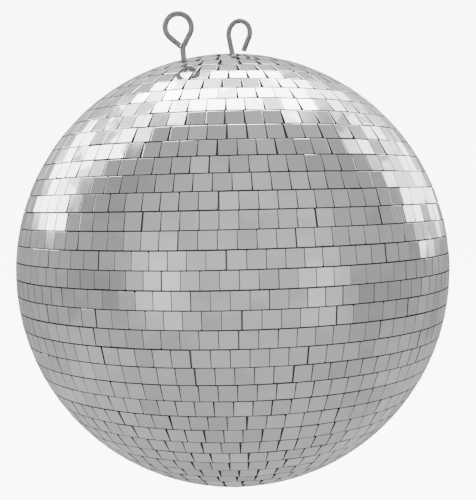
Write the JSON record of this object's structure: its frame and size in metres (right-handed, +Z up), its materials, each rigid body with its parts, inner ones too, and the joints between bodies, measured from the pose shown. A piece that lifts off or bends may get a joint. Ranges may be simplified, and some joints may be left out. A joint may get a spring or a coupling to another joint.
{
  "type": "mirror ball",
  "caption": "Hanging mirror ball: rows of small square mirror tiles round a hollow core, with a swivelling wire hanging eye and a safety eye at the top.",
  "frame": {"origin": "where a hook bears: at the top of the inside of the main eye's ring, straight above the ball's centre", "axes": "+Z up, from the ball's centre to the origin; -Y is the side that the safety eye is on, towards the viewer"},
  "size_m": [0.2853, 0.2854, 0.3097],
  "materials": {
    "mirror_glass": "silvered glass, polished",
    "strip_backing": "woven grey tape",
    "core_plastic": "moulded, matt",
    "collar_metal": "turned, satin",
    "eye_wire": "dull zinc-plated drawn wire",
    "plate_steel": "rolled sheet",
    "fastener_steel": "bright zinc plate"
  },
  "bodies": {
    "hanger": {"main_eye": "eye_wire", "main_eye_washer": "fastener_steel", "main_eye_nut": "fastener_steel", "main_eye_lock_nut": "fastener_steel"},
    "ball": {"mirror_row_upper_01": "mirror_glass", "mirror_row_upper_02": "mirror_glass", "mirror_row_upper_03": "mirror_glass", "mirror_row_upper_04": "mirror_glass", "mirror_row_upper_05": "mirror_glass", "mirror_row_upper_06": "mirror_glass", "mirror_row_upper_07": "mirror_glass", "mirror_row_upper_08": "mirror_glass", "mirror_row_upper_09": "mirror_glass", "mirror_row_upper_10": "mirror_glass", "mirror_row_upper_11": "mirror_glass", "mirror_row_upper_12": "mirror_glass", "mirror_row_upper_13": "mirror_glass", "mirror_row_upper_14": "mirror_glass", "mirror_row_upper_15": "mirror_glass", "mirror_row_upper_16": "mirror_glass", "mirror_row_upper_17": "mirror_glass", "mirror_row_upper_18": "mirror_glass", "mirror_row_upper_19": "mirror_glass", "mirror_row_upper_20": "mirror_glass", "mirror_row_lower_01": "mirror_glass", "mirror_row_lower_02": "mirror_glass", "mirror_row_lower_03": "mirror_glass", "mirror_row_lower_04": "mirror_glass", "mirror_row_lower_05": "mirror_glass", "mirror_row_lower_06": "mirror_glass", "mirror_row_lower_07": "mirror_glass", "mirror_row_lower_08": "mirror_glass", "mirror_row_lower_09": "mirror_glass", "mirror_row_lower_10": "mirror_glass", "mirror_row_lower_11": "mirror_glass", "mirror_row_lower_12": "mirror_glass", "mirror_row_lower_13": "mirror_glass", "mirror_row_lower_14": "mirror_glass", "mirror_row_lower_15": "mirror_glass", "mirror_row_lower_16": "mirror_glass", "mirror_row_lower_17": "mirror_glass", "mirror_row_lower_18": "mirror_glass", "mirror_row_lower_19": "mirror_glass", "mirror_row_lower_20": "mirror_glass", "backing_upper": "strip_backing", "backing_lower": "strip_backing", "core_upper_shell": "core_plastic", "core_lower_shell": "core_plastic", "bottom_disc": "mirror_glass", "crown_collar": "collar_metal", "load_plate": "plate_steel", "load_plate_screws": "fastener_steel", "safety_eye_plate": "plate_steel"},
    "safety_loop": {"safety_eye": "eye_wire", "safety_eye_washer": "fastener_steel", "safety_eye_nut": "fastener_steel", "safety_eye_lock_nut": "fastener_steel"}
  },
  "joints": [
    {"name": "ball_spin", "type": "hinge", "parent": "hanger", "child": "ball", "pos_m": [-0.00276, 0.00159, -0.06346], "axis": [0.0276, -0.0159, -0.9995], "continuous": true},
    {"name": "safety_eye_turn", "type": "hinge", "parent": "ball", "child": "safety_loop", "pos_m": [-0.03391, -0.03947, -0.0297], "axis": [-0.2364, -0.2751, 0.9319], "continuous": true}
  ]
}
